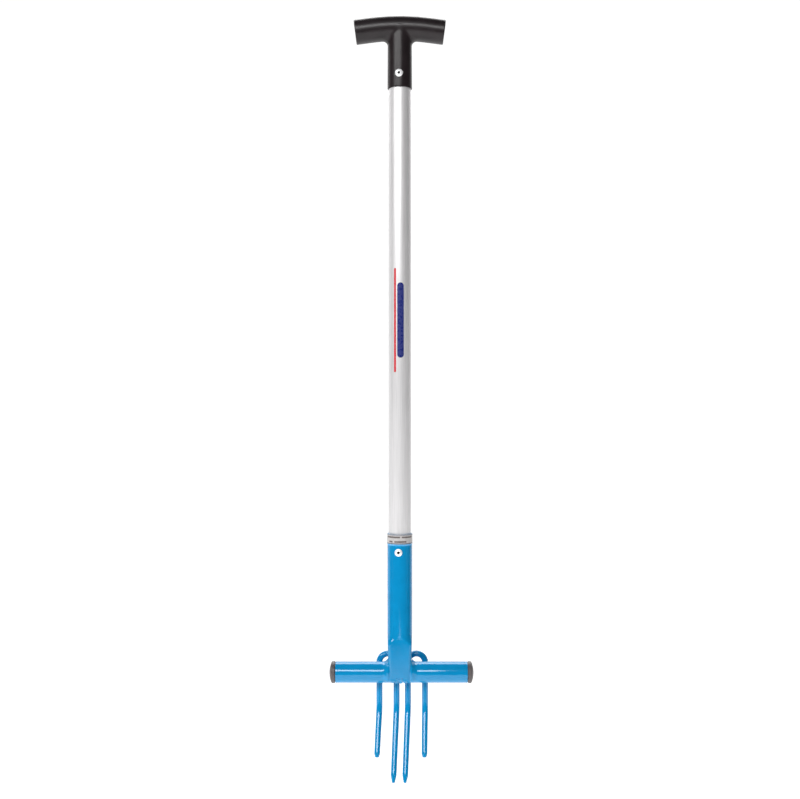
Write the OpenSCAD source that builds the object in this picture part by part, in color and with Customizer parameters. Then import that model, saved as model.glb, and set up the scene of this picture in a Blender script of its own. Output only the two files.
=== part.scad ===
// Long-handled hand aerator: a T-grip and an aluminium shaft riveted to a welded steel head,
// which is a socket, a foot bar and two hairpins of round bar whose legs are the four tines.
// Millimetres, +Z up, the working side faces -Y. The origin is on the shaft's axis, level with
// the crown of the crossbar's underside, which is where the tool hangs from a two-prong hook.

/* [Overall] */
// Drop from the crossbar's underside to the foot bar's axis
bar_drop = 813.6; // [700:0.2:900]

/* [Grip] */
// Width of the crossbar over the top corners of its ends
grip_span = 119.4; // [100:0.2:140]
// Diameter of the crossbar
grip_d = 31.6; // [28:0.2:34]
// Radius of the crossbar's curved middle
grip_arc_r = 290; // [200:1:400]
// Droop of the crossbar's straight ends
grip_end_tilt = 7.5; // [4:0.5:8]
// Rounding round the end faces
grip_end_r = 1.6; // [1:0.1:3]
// Drop from the crossbar's underside to the stem's rim
stem_drop = 62.6; // [50:0.2:90]
// Diameter of the stem at its rim
stem_d = 31.4; // [30.4:0.1:34]
// Radius of the fillet between the crossbar and the stem
stem_fillet_r = 6.5; // [4:0.5:9]
// Depth of the shaft's seat inside the stem
seat_depth = 56.6; // [40:0.2:62]

/* [Shaft] */
// Outside diameter of the shaft
shaft_d = 28.6; // [26:0.1:29]
// Wall of the shaft
shaft_wall = 1.5; // [1.2:0.1:2.5]
// Length of shaft inside the socket
shaft_in_socket = 75; // [50:1:100]

/* [Socket] */
// Outside diameter of the socket
socket_d = 32; // [31.6:0.1:34]
// Height of the socket's rim above the foot bar's axis
socket_h = 179; // [150:1:220]
// Height above the bar's axis where the pressed end starts
press_h = 50; // [40:1:60]
// Width of the pressed end
press_w = 28.4; // [26:0.2:30]
// Distance of the pressed end's front from the bar's axis
press_front = 15.15; // [15.1:0.05:15.6]
// Distance of the pressed end's back from the bar's axis
press_back = 13.35; // [12:0.05:13.4]
// Radius of the pressed end's front corners
front_r = 4; // [3:0.5:8]
// Radius of the pressed end's back corners
back_r = 12; // [8:0.5:12]
// Height of the label band
label_h = 12.2; // [8:0.2:20]

/* [Rivets] */
// Diameter of the rivets' domed heads
rivet_head_d = 9.7; // [8:0.1:11]
// Diameter of the rivets' bodies
rivet_d = 4.8; // [4:0.1:5]
// Drop from the crossbar's underside to the upper rivet
grip_rivet_drop = 45.4; // [30:0.2:56]
// Turn of the upper rivet round the shaft
grip_rivet_turn = -4; // [-10:1:10]
// Height of the lower rivet above the foot bar's axis
socket_rivet_h = 156.4; // [120:0.2:160]
// Turn of the lower rivet round the shaft
socket_rivet_turn = -6; // [-10:1:10]

/* [Foot bar] */
// Diameter of the foot bar
bar_d = 26.9; // [25:0.1:27]
// Wall of the foot bar
bar_wall = 2; // [1.5:0.1:3]
// Length of the bar between its end caps
bar_len = 169.6; // [140:0.2:220]
// Sideways offset of the bar's middle from the shaft's axis
bar_offset = 2.2; // [0:0.1:3]
// Distance of the bar's axis behind the shaft's axis
bar_back = 1.4; // [0:0.1:2]
// Length of a cap outside the bar
cap_len = 8; // [5:0.1:12]
// Diameter of a cap's head
cap_d = 27.6; // [27.4:0.1:30]

/* [Tines] */
// Diameter of the round bar
rod_d = 8; // [6:0.1:8]
// Diameter at the foot of a tine, above its point
rod_low_d = 7.4; // [5:0.1:8]
// Sideways offset of the tines' middle from the shaft's axis
tine_offset = 3.2; // [0:0.1:4]
// Distance of the outer tines from their middle
outer_x = 29.7; // [28:0.1:34]
// Distance of the inner tines from their middle
inner_x = 7.4; // [6:0.1:8]
// Height of the loops' centres above the bar's axis
loop_h = 8.8; // [4:0.1:10]
// Drop from the bar's axis to the start of the bend
bend_drop = 43; // [36:1:70]
// Radius of the bend
bend_r = 40; // [20:1:60]
// Forward tilt of the tines below the bend
tine_tilt = 22; // [0:1:30]
// Sideways turn of the inner tines' bends
inner_skew = 6.5; // [0:0.5:12]
// Sideways turn of the left outer tine's bend
left_skew = 7; // [0:0.5:12]
// Sideways turn of the right outer tine's bend
right_skew = 3; // [0:0.5:12]
// Drop from the bar's axis to the long tines' points
long_drop = 137.2; // [120:0.2:160]
// Drop from the bar's axis to the short tines' points
short_drop = 108.4; // [90:0.2:115]

/* [Decal] */
// Height of the decal's middle above the foot bar's axis
decal_h = 453; // [300:1:650]
// Length of the red stripe
red_len = 133; // [60:1:160]
// Length of the blue stripe
blue_len = 96; // [40:1:140]

/* [Hidden] */

clear = 0.1;                            // radial gap between parts that sleeve each other
through = 1;                            // how far a cut runs past the face it opens
lap = 0.2;                              // how far a stretch runs into the one that it carries on
slimmer = 0.04;                         // and how much thinner it is

bar_z = -bar_drop;
grip_z = grip_d / 2;                    // height of the crossbar's centre line at its crown
stem_top_d = stem_d - 0.6;              // the stem narrows a little upwards, as a moulding does
seat_d = shaft_d + 2 * clear;
seat_top = -stem_drop + seat_depth;

grip_end_x = grip_arc_r * sin(grip_end_tilt);   // where the arc ends and a straight end starts
grip_end_z = grip_z - grip_arc_r * (1 - cos(grip_end_tilt));
grip_end_len = (grip_span / 2 - grip_d / 2 * sin(grip_end_tilt) - grip_end_x)
    / cos(grip_end_tilt);

socket_bore_d = shaft_d + 2 * clear;
socket_wall = (socket_d - socket_bore_d) / 2;
shaft_low_z = bar_z + socket_h - shaft_in_socket;
press_low_h = -6;                       // the pressed end is shaped down to here
tongue_low_h = -4;                      // the front tongue stops here, on the bar's face
// rings of the pressed end: height, share of the pressed outline, growth of its half width,
// front and back over the lowest ring's
press_rings = [
    [press_h + lap, 0, 0, 0, 0], [press_h - 5, 0.3, 1.6, 1.9, 0.9],
    [press_h - 10, 0.65, 1.5, 1.8, 0.5], [press_h - 16, 1, 1.3, 1.6, 0], [press_low_h, 1, 0, 0, 0]
];
ring_steps = 16;                        // points on each quarter of a ring
label_t = 0.25;

rod_y = bar_back + bar_d / 2 + rod_d / 2 + 0.05;    // the hairpins stand just behind the bar
loop_r = (outer_x - inner_x) / 2;
bend_z = -bend_drop;
bend_end = [-bend_r * (1 - cos(tine_tilt)), bend_z - bend_r * sin(tine_tilt)];
bend_lap = lap / bend_r * 180 / PI;
loop_lap = lap / loop_r * 180 / PI;
long_point = [9, 3.4];                  // length of the cone and diameter of its end
short_point = [4.5, 4.6];

mandrel_d = 2.7;
head_h = 1.5;                           // rise of a rivet's dome
decal_t = 0.12;
red_w = 2.6;
blue_w = 8.4;

// Puts children on the front of a round part: r from the axis, turned and at height z.
module on_front(r, turn, z) {
    translate([0, 0, z]) rotate([0, 0, turn]) translate([0, -r, 0]) rotate([90, 0, 0]) children();
}

// ---------------------------------------------------------------- grip

module crossbar() {
    translate([0, 0, grip_z - grip_arc_r]) rotate([90, 0, 0])
        rotate([0, 0, 90 - grip_end_tilt])
            rotate_extrude(angle = 2 * grip_end_tilt, $fn = 96)
                translate([grip_arc_r, 0]) circle(d = grip_d, $fn = 64);
    for (side = [-1, 1])
        translate([side * grip_end_x, 0, grip_end_z]) rotate([0, side * (90 + grip_end_tilt), 0])
            straight_end();
}

// A straight end of the crossbar along +Z, its outer edge rounded.
module straight_end() {
    r = (grip_d - slimmer) / 2;
    side_h = grip_end_len - grip_end_r;
    rotate_extrude($fn = 64) {
        translate([0, -lap]) square([r, lap + side_h]);
        square([r - grip_end_r, grip_end_len]);
        translate([r - grip_end_r, side_h]) intersection() {
            circle(r = grip_end_r, $fn = 32);
            square(grip_end_r);
        }
    }
}

// The flare that carries the stem into the crossbar, kept within the crossbar's depth.
module stem_flare() {
    flare_low = -stem_fillet_r;
    intersection() {
        translate([0, 0, flare_low]) rotate_extrude($fn = 64) difference() {
            square([stem_top_d / 2 + stem_fillet_r, stem_fillet_r + grip_d / 4]);
            translate([stem_top_d / 2 + stem_fillet_r, 0]) circle(r = stem_fillet_r, $fn = 64);
        }
        cube([grip_span, grip_d * 0.86, 2 * grip_d], center = true);
    }
}

module grip_handle() {
    color("#2f2529") difference() {
        union() {
            crossbar();
            stem_flare();
            translate([0, 0, -stem_drop])
                cylinder(d1 = stem_d, d2 = stem_top_d, h = stem_drop + grip_z, $fn = 64);
        }
        translate([0, 0, -stem_drop - through])
            cylinder(d = seat_d, h = seat_depth + through, $fn = 64);
        on_front(0, grip_rivet_turn, -grip_rivet_drop)
            cylinder(d = rivet_d + clear, h = stem_d, $fn = 32);
    }
}

// ---------------------------------------------------------------- rivets

// A blind rivet seen from its axis: dome outside, sleeve through the walls, bulb inside.
// Its origin is on the surface that the head bears on, and +Z points out.
module rivet_body(grip_t) {
    dome_r = (pow(rivet_head_d / 2, 2) + pow(head_h, 2)) / (2 * head_h);
    bulb_d = rivet_d + 1.6;
    bulb_h = 3;
    color("#d9dadc") difference() {
        union() {
            intersection() {
                translate([0, 0, head_h - dome_r]) sphere(r = dome_r, $fn = 64);
                cylinder(d = rivet_head_d, h = head_h, $fn = 48);
            }
            translate([0, 0, -grip_t - bulb_h])
                cylinder(d = rivet_d, h = grip_t + bulb_h + head_h / 2, $fn = 32);
            translate([0, 0, -grip_t - bulb_h]) cylinder(d1 = rivet_d, d2 = bulb_d, h = bulb_h, $fn = 32);
        }
        translate([0, 0, -grip_t - bulb_h - through])
            cylinder(d = mandrel_d, h = grip_t + bulb_h + head_h + 2 * through, $fn = 32);
    }
}

// What stays of the mandrel: a stem that ends below the dome and the head that set the rivet.
module rivet_mandrel(grip_t) {
    set_z = -grip_t - 3;
    color("#6b6a6c") {
        translate([0, 0, set_z]) cylinder(d = mandrel_d - 0.04, h = -set_z - 0.6, $fn = 32);
        translate([0, 0, set_z - 1.4]) cylinder(d = rivet_d, h = 1.4, $fn = 32);
    }
}

grip_rivet_seat = stem_d / 2;           // the head bears on the stem
grip_rivet_t = grip_rivet_seat - shaft_d / 2 + shaft_wall;
socket_rivet_seat = socket_d / 2;
socket_rivet_t = socket_rivet_seat - shaft_d / 2 + shaft_wall;

module grip_rivet() {
    on_front(grip_rivet_seat, grip_rivet_turn, -grip_rivet_drop) rivet_body(grip_rivet_t);
}

module grip_rivet_mandrel() {
    on_front(grip_rivet_seat, grip_rivet_turn, -grip_rivet_drop) rivet_mandrel(grip_rivet_t);
}

module socket_rivet() {
    on_front(socket_rivet_seat, socket_rivet_turn, bar_z + socket_rivet_h)
        rivet_body(socket_rivet_t);
}

module socket_rivet_mandrel() {
    on_front(socket_rivet_seat, socket_rivet_turn, bar_z + socket_rivet_h)
        rivet_mandrel(socket_rivet_t);
}

// ---------------------------------------------------------------- shaft and its films

module shaft_tube() {
    length = seat_top - shaft_low_z - clear;
    color("#b9b7b9") difference() {
        translate([0, 0, shaft_low_z]) cylinder(d = shaft_d, h = length, $fn = 64);
        translate([0, 0, shaft_low_z - through])
            cylinder(d = shaft_d - 2 * shaft_wall, h = length + 2 * through, $fn = 64);
        for (at = [[grip_rivet_turn, -grip_rivet_drop], [socket_rivet_turn, bar_z + socket_rivet_h]])
            on_front(0, at[0], at[1]) cylinder(d = rivet_d + clear, h = shaft_d, $fn = 32);
    }
}

// A strip of film on the front of the shaft, its middle at height z and turned round the shaft.
module shaft_strip(width, length, turn, z) {
    angle = width / (PI * shaft_d) * 360;
    translate([0, 0, z - length / 2]) rotate([0, 0, -90 + turn - angle / 2])
        rotate_extrude(angle = angle, $fn = 96)
            translate([shaft_d / 2 + 0.01, 0]) square([decal_t, length]);
}

module decal_stripe_blue() {
    color("#25306c") shaft_strip(blue_w, blue_len, 4, bar_z + decal_h);
}

module decal_stripe_red() {
    color("#c8323c") shaft_strip(red_w, red_len, -25, bar_z + decal_h);
}

// ---------------------------------------------------------------- socket

// Point i of quarter q of the round tube, a little inside its surface.
function round_point(q, i, inset) =
    let (turn = (q * ring_steps + i + 0.5) * 90 / ring_steps, r = socket_d / 2 - slimmer - inset)
    [r * cos(turn), r * sin(turn)];

// The same point of the pressed outline, a rectangle whose back corners are rounder. The
// outline is grown by g, which is [half width, front, back].
function pressed_point(q, i, inset, g) =
    let (turn = (q + i / (ring_steps - 1)) * 90, back = q < 2, r = back ? back_r : front_r,
         x = press_w / 2 + g[0] - r, y = back ? press_back + g[2] - r : r - press_front - g[1])
    [(q == 0 || q == 3 ? x : -x) + (r - inset) * cos(turn),
     bar_back + y + (r - inset) * sin(turn)];

// From the round tube above to the pressed outline below, inset by a wall for its inside.
module pressed_end(inset) {
    count = 4 * ring_steps;
    rings = len(press_rings);
    points = [for (ring = press_rings, q = [0:3], i = [0:ring_steps - 1])
        let (p = round_point(q, i, inset) * (1 - ring[1])
            + pressed_point(q, i, inset, [ring[2], ring[3], ring[4]]) * ring[1])
        [p[0], p[1], ring[0]]];
    sides = [for (k = [0:rings - 2], i = [0:count - 1], half = [0, 1])
        let (a = k * count + i, b = k * count + (i + 1) % count)
        half == 0 ? [a, b, b + count] : [a, b + count, a + count]];
    top = [for (i = [0:count - 1]) count - 1 - i];
    bottom = [for (i = [0:count - 1]) (rings - 1) * count + i];
    polyhedron(points, concat(sides, [top, bottom]));
}

module bar_solid(d) {
    translate([bar_offset - bar_len / 2, bar_back, 0]) rotate([0, 90, 0])
        cylinder(d = d, h = bar_len, $fn = 64);
}

module socket_tube() {
    color("#0b93cf") translate([0, 0, bar_z]) difference() {
        union() {
            translate([0, 0, press_h]) cylinder(d = socket_d, h = socket_h - press_h, $fn = 64);
            pressed_end(0);
        }
        translate([0, 0, press_h])
            cylinder(d = socket_bore_d, h = socket_h - press_h + through, $fn = 64);
        pressed_end(socket_wall);
        bar_solid(bar_d + clear);
        // the tube stops on the bar behind the bar's axis, and the tongue is trimmed in front
        translate([-socket_d, bar_back, -socket_d]) cube([2 * socket_d, socket_d, socket_d]);
        translate([-socket_d, -socket_d, tongue_low_h - socket_d])
            cube([2 * socket_d, 2 * socket_d, socket_d]);
        on_front(0, socket_rivet_turn, socket_rivet_h)
            cylinder(d = rivet_d + clear, h = socket_d, $fn = 32);
    }
}

module label_band() {
    color("#e6dfe0") translate([0, 0, bar_z + socket_h - label_h]) difference() {
        cylinder(d = socket_d + 2 * label_t + 0.04, h = label_h, $fn = 96);
        translate([0, 0, -through])
            cylinder(d = socket_d + 0.04, h = label_h + 2 * through, $fn = 96);
    }
}

// ---------------------------------------------------------------- foot bar and caps

module foot_bar() {
    color("#1596d2") translate([0, 0, bar_z]) difference() {
        bar_solid(bar_d);
        translate([bar_offset - bar_len / 2 - through, bar_back, 0]) rotate([0, 90, 0])
            cylinder(d = bar_d - 2 * bar_wall, h = bar_len + 2 * through, $fn = 64);
    }
}

// A cap on the +X end: a crowned head outside and a hollow plug with three ribs inside.
module end_cap() {
    crown = 3;                          // rise of the head's outer face
    crown_r = (pow(cap_d / 2, 2) + pow(crown, 2)) / (2 * crown);
    plug_d = bar_d - 2 * bar_wall - 2 * clear;
    plug_len = 14;
    plug_wall = 2;
    rib = 0.35;
    color("#4e494b") rotate([0, 90, 0]) difference() {
        union() {
            intersection() {
                cylinder(d = cap_d, h = cap_len, $fn = 64);
                translate([0, 0, cap_len - crown_r]) sphere(r = crown_r, $fn = 96);
            }
            translate([0, 0, -plug_len]) cylinder(d = plug_d - 2 * rib, h = plug_len, $fn = 64);
            for (i = [0:2])
                translate([0, 0, -plug_len + 2 + i * 4]) cylinder(d = plug_d, h = 1.6, $fn = 64);
        }
        translate([0, 0, -plug_len - through])
            cylinder(d = plug_d - 2 * plug_wall, h = plug_len + through, $fn = 64);
    }
}

module end_cap_left() {
    translate([bar_offset - bar_len / 2, bar_back, bar_z]) mirror([1, 0, 0]) end_cap();
}

module end_cap_right() {
    translate([bar_offset + bar_len / 2, bar_back, bar_z]) end_cap();
}

// ---------------------------------------------------------------- tines

// One leg of a hairpin, straight down and then bent forward and turned by skew, to a blunt point.
module tine(x, drop, point, skew) {
    low_len = (bend_end[1] + drop) / cos(tine_tilt) - point[0];
    translate([x, rod_y, 0]) {
        translate([0, 0, bend_z + lap])
            cylinder(d = rod_d, h = loop_h - bend_z - lap, $fn = 32);
        rotate([0, 0, -skew]) {
            translate([0, -bend_r, bend_z]) rotate([-90, 0, 90])
                rotate([0, 0, -bend_lap]) rotate_extrude(angle = tine_tilt + 2 * bend_lap, $fn = 96)
                    translate([bend_r, 0]) circle(d = rod_d - slimmer, $fn = 32);
            translate([0, bend_end[0], bend_end[1]]) rotate([180 - tine_tilt, 0, 0])
                rotate_extrude($fn = 32) polygon([
                    [0, 0], [rod_d / 2, 0], [rod_low_d / 2, low_len],
                    [point[1] / 2, low_len + point[0]], [0, low_len + point[0]]
                ]);
        }
    }
}

// A hairpin: side is -1 for the left one and 1 for the right one.
module hairpin(side, outer_skew) {
    color("#0e8dc4") translate([tine_offset, 0, bar_z]) {
        tine(side * outer_x, short_drop, short_point, outer_skew);
        tine(side * inner_x, long_drop, long_point, inner_skew);
        translate([side * (outer_x + inner_x) / 2, rod_y, loop_h]) rotate([90, 0, 0])
            rotate([0, 0, -loop_lap]) rotate_extrude(angle = 180 + 2 * loop_lap, $fn = 96)
                translate([loop_r, 0]) circle(d = rod_d - slimmer, $fn = 32);
    }
}

module tine_rod_left() { hairpin(-1, left_skew); }
module tine_rod_right() { hairpin(1, right_skew); }

// ---------------------------------------------------------------- welds

// A concave collar of weld round the bar on each side of the socket.
module weld_socket_bar() {
    reach = 8;                          // how far the weld runs along the bar
    rise = 6;                           // how far it climbs the socket
    start = press_w / 2 - 1;
    color("#2a9bd6") translate([0, 0, bar_z]) difference() {
        intersection() {
            for (side = [-1, 1]) translate([0, bar_back, 0]) rotate([0, side * 90, 0])
                translate([0, 0, start])
                    cylinder(r1 = bar_d / 2 + rise, r2 = bar_d / 2 - 0.5, h = reach + 1, $fn = 64);
            // the collar stays clear of the hairpins behind it
            translate([-bar_len / 2, -bar_d, -bar_d]) cube([bar_len, 1.46 * bar_d, 2 * bar_d]);
        }
        bar_solid(bar_d + 0.02);
        pressed_end(-0.02);
    }
}

// Beads in a row along the tongue's lower edge, on the bar's lower front.
module weld_tongue() {
    beads = 5;
    bead_d = 6.4;
    across = press_w - 7;
    bead_turn = 28;                     // how far round the bar from its front the row lies
    color("#2a9bd6") translate([0, 0, bar_z]) difference() {
        for (i = [0:beads - 1])
            translate([across * (i / (beads - 1) - 0.5), bar_back, 0]) rotate([bead_turn, 0, 0])
                translate([0, -bar_d / 2 + 1, 0]) sphere(d = bead_d, $fn = 32);
        bar_solid(bar_d + 0.02);
        pressed_end(-0.02);
    }
}

// Beads where the legs touch the bar: one below each leg, and one above the outer leg, since the
// socket stands over the inner one.
module weld_tines(side) {
    bead_d = 8;
    bead_w = 11;
    color("#1d8fca") translate([tine_offset, 0, bar_z]) difference() {
        for (at = [[outer_x, 1], [outer_x, -1], [inner_x, -1]])
            translate([side * at[0] - bead_w / 2, rod_y - rod_d / 2 - 1, at[1] * (bar_d / 2 - 2)])
                rotate([0, 90, 0]) cylinder(d = bead_d, h = bead_w, $fn = 32);
        translate([-tine_offset, 0, 0]) bar_solid(bar_d + 0.02);
        for (x = [outer_x, inner_x]) translate([side * x, rod_y, -bar_d])
            cylinder(d = rod_d + 0.02, h = 2 * bar_d, $fn = 32);
    }
}

module weld_tines_left() { weld_tines(-1); }
module weld_tines_right() { weld_tines(1); }

grip_handle();
grip_rivet();
grip_rivet_mandrel();
shaft_tube();
decal_stripe_blue();
decal_stripe_red();
label_band();
socket_tube();
socket_rivet();
socket_rivet_mandrel();
foot_bar();
end_cap_left();
end_cap_right();
tine_rod_left();
tine_rod_right();
weld_socket_bar();
weld_tongue();
weld_tines_left();
weld_tines_right();
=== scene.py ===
"""The looks of a long-handled hand aerator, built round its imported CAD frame.

Shapes are worked out in millimetres in the row frame and turned into metres when a mesh is made.
"""

import itertools
import math

import bpy
import numpy as np
from mathutils import Matrix, Vector


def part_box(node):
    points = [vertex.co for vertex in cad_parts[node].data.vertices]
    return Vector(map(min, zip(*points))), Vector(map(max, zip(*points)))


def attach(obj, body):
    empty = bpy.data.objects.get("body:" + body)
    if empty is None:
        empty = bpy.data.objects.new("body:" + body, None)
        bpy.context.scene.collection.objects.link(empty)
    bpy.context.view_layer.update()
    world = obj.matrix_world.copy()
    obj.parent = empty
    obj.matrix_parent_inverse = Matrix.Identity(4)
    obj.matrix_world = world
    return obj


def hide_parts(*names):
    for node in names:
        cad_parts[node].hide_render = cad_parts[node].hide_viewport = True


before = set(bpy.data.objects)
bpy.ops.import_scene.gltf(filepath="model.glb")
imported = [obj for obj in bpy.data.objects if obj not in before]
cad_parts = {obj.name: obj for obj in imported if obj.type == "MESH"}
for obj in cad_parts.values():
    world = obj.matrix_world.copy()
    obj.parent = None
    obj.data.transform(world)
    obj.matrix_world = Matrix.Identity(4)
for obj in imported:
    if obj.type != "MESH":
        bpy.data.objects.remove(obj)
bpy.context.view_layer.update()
scene = bpy.context.scene
MM = 0.001

# ------------------------------------------------------------------ sizes


def box_mm(node):
    low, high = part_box(node)
    return low / MM, high / MM


BAR_LOW, BAR_HIGH = box_mm("foot_bar")
SOCKET_HIGH = box_mm("socket_tube")[1]
SHAFT_LOW, SHAFT_HIGH = box_mm("shaft_tube")
GRIP_LOW, GRIP_HIGH = box_mm("grip_handle")
LABEL_LOW, LABEL_HIGH = box_mm("label_band")

BAR_R = (BAR_HIGH.z - BAR_LOW.z) / 2
BAR_Z = (BAR_HIGH.z + BAR_LOW.z) / 2
BAR_Y = (BAR_HIGH.y + BAR_LOW.y) / 2
BAR_WALL = 2.0
LABEL_OUT_R = (LABEL_HIGH.x - LABEL_LOW.x) / 2
LABEL_T = 0.25
FILM_GAP = 0.02
SOCKET_R = LABEL_OUT_R - LABEL_T - FILM_GAP
SHAFT_R = (SHAFT_HIGH.x - SHAFT_LOW.x) / 2
SHAFT_WALL = 1.5
SEAT_GAP = 0.1
SEAT_TOP = -6.0
GRIP_R = GRIP_HIGH.z / 2

ROD_R = 4.0
ROD_LOW_R = 3.7
ROD_GAP = 0.05
ROD_Y = BAR_Y + BAR_R + ROD_R + ROD_GAP
TINES_X = 3.2
OUTER_X = 29.7
INNER_X = 7.4
LOOP_H = 8.8
BEND_DROP = 43.0
BEND_R = 40.0
TINE_TILT = math.radians(22)
INNER_SKEW = 6.5
OUTER_SKEW = {-1: 7, 1: 3}
SHORT_DROP = 108.4
LONG_DROP = 137.2
# the cone's length and its end's radius, for the short outer tines and the long inner ones
OUTER_POINT = (4.5, 2.3)
INNER_POINT = (9, 1.7)
# lengths at a tine's point: the faint ring where the cone starts, and the rounded end
SHOULDER = 0.6
NIB = 0.5

# rings of the socket's pressed end: height above the bar's axis, share of the pressed outline,
# and its half width, front and back; the corners' radii are the same all the way down
PRESS_TOP = 50.0
PRESS_RINGS = [
    (PRESS_TOP, 0.0, 14.2, 15.15, 13.35),
    (46.5, 0.25, 15.3, 16.2, 13.9),
    (43.0, 0.7, 15.55, 16.7, 13.6),
    (39.0, 1.0, 15.5, 16.75, 13.35),
    (-6.0, 1.0, 14.2, 15.15, 13.35),
]
FRONT_R = 4.0
BACK_R = 12.0
TONGUE_LOW = -4.0
PRESS_LOW = PRESS_RINGS[-1][0]

# ------------------------------------------------------------------ mesh helpers


def add_piece(name, verts, faces, material, nodes, slot, sharp=35):
    """A mesh piece in the row frame that rides on the one body and stands for CAD nodes."""
    mesh = bpy.data.meshes.new(name)
    mesh.from_pydata((np.asarray(verts, float) * MM).tolist(), [], [list(f) for f in faces])
    mesh.validate()
    mesh.materials.append(material)
    piece = bpy.data.objects.new(name, mesh)
    scene.collection.objects.link(piece)
    mesh.polygons.foreach_set("use_smooth", [True] * len(mesh.polygons))
    mesh.set_sharp_from_angle(angle=math.radians(sharp))
    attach(piece, "root")
    if nodes:
        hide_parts(*nodes)
    return piece


def ring_faces(rings, count, closed=False):
    """Quads between rings of count points; a closed one joins its last ring to its first."""
    faces = []
    for k in range(rings if closed else rings - 1):
        a, b = k * count, (k + 1) % rings * count
        for i in range(count):
            j = (i + 1) % count
            faces.append((a + i, a + j, b + j, b + i))
    return faces


def rounded(points, radii, steps=5):
    """A closed outline with its corners rounded; a corner of radius 0 stays."""
    out = []
    for i, (point, radius) in enumerate(zip(points, radii)):
        p = np.array(point, float)
        if radius <= 0:
            out.append(p)
            continue
        before = np.array(points[i - 1], float) - p
        after = np.array(points[(i + 1) % len(points)], float) - p
        u, v = before / np.linalg.norm(before), after / np.linalg.norm(after)
        half = math.acos(np.clip(u @ v, -1, 1)) / 2
        centre = p + (u + v) / np.linalg.norm(u + v) * radius / math.sin(half)
        start = p + u * radius / math.tan(half) - centre
        end = p + v * radius / math.tan(half) - centre
        sweep = math.pi - 2 * half
        for s in range(steps + 1):
            t = s / steps
            out.append(
                centre
                + (math.sin((1 - t) * sweep) * start + math.sin(t * sweep) * end)
                / math.sin(sweep)
            )
    return np.array(out)


def lathe(outline, count=128, matrix=Matrix.Identity(4)):
    """A closed outline of (radius, height) turned about the local Z axis."""
    outline = np.asarray(outline, float)
    area = np.sum(
        outline[:, 0] * np.roll(outline[:, 1], -1) - np.roll(outline[:, 0], -1) * outline[:, 1]
    )
    if area < 0:
        outline = outline[::-1]
    turn = np.arange(count) * 2 * math.pi / count
    verts, pole = [], []
    for r, z in outline:
        pole.append(r < 1e-6)
        verts += [(r * math.cos(a), r * math.sin(a), z) for a in turn]
    faces = [f[::-1] for f in ring_faces(len(outline), count, closed=True)]
    verts = np.array(verts)
    # the points of a pole are one point, and its quads are triangles
    keep = {}
    index = np.arange(len(verts))
    for k, is_pole in enumerate(pole):
        if is_pole:
            index[k * count : (k + 1) * count] = k * count
    used = []
    for face in faces:
        ids = list(dict.fromkeys(int(index[i]) for i in face))
        if len(ids) > 2:
            used.append(ids)
    for face in used:
        for i in face:
            keep.setdefault(i, len(keep))
    faces = [tuple(keep[i] for i in face) for face in used]
    verts = verts[list(keep)]
    turned = np.array(matrix.to_3x3()) @ verts.T
    return turned.T + np.array(matrix.translation), faces


def sweep(path, radii, count=40):
    """A round rod along a path, with its ends closed."""
    path = np.asarray(path, float)
    tangent = np.gradient(path, axis=0)
    tangent /= np.linalg.norm(tangent, axis=1)[:, None]
    side = np.array([0.0, 1.0, 0.0])
    turn = np.arange(count) * 2 * math.pi / count
    verts = []
    for p, t, r in zip(path, tangent, radii):
        side = side - (side @ t) * t
        side /= np.linalg.norm(side)
        other = np.cross(t, side)
        verts += [p + r * (math.cos(a) * side + math.sin(a) * other) for a in turn]
    faces = ring_faces(len(path), count)
    faces.append(tuple(range(count))[::-1])
    faces.append(tuple(range(len(verts) - count, len(verts))))
    return np.array(verts), faces


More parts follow.
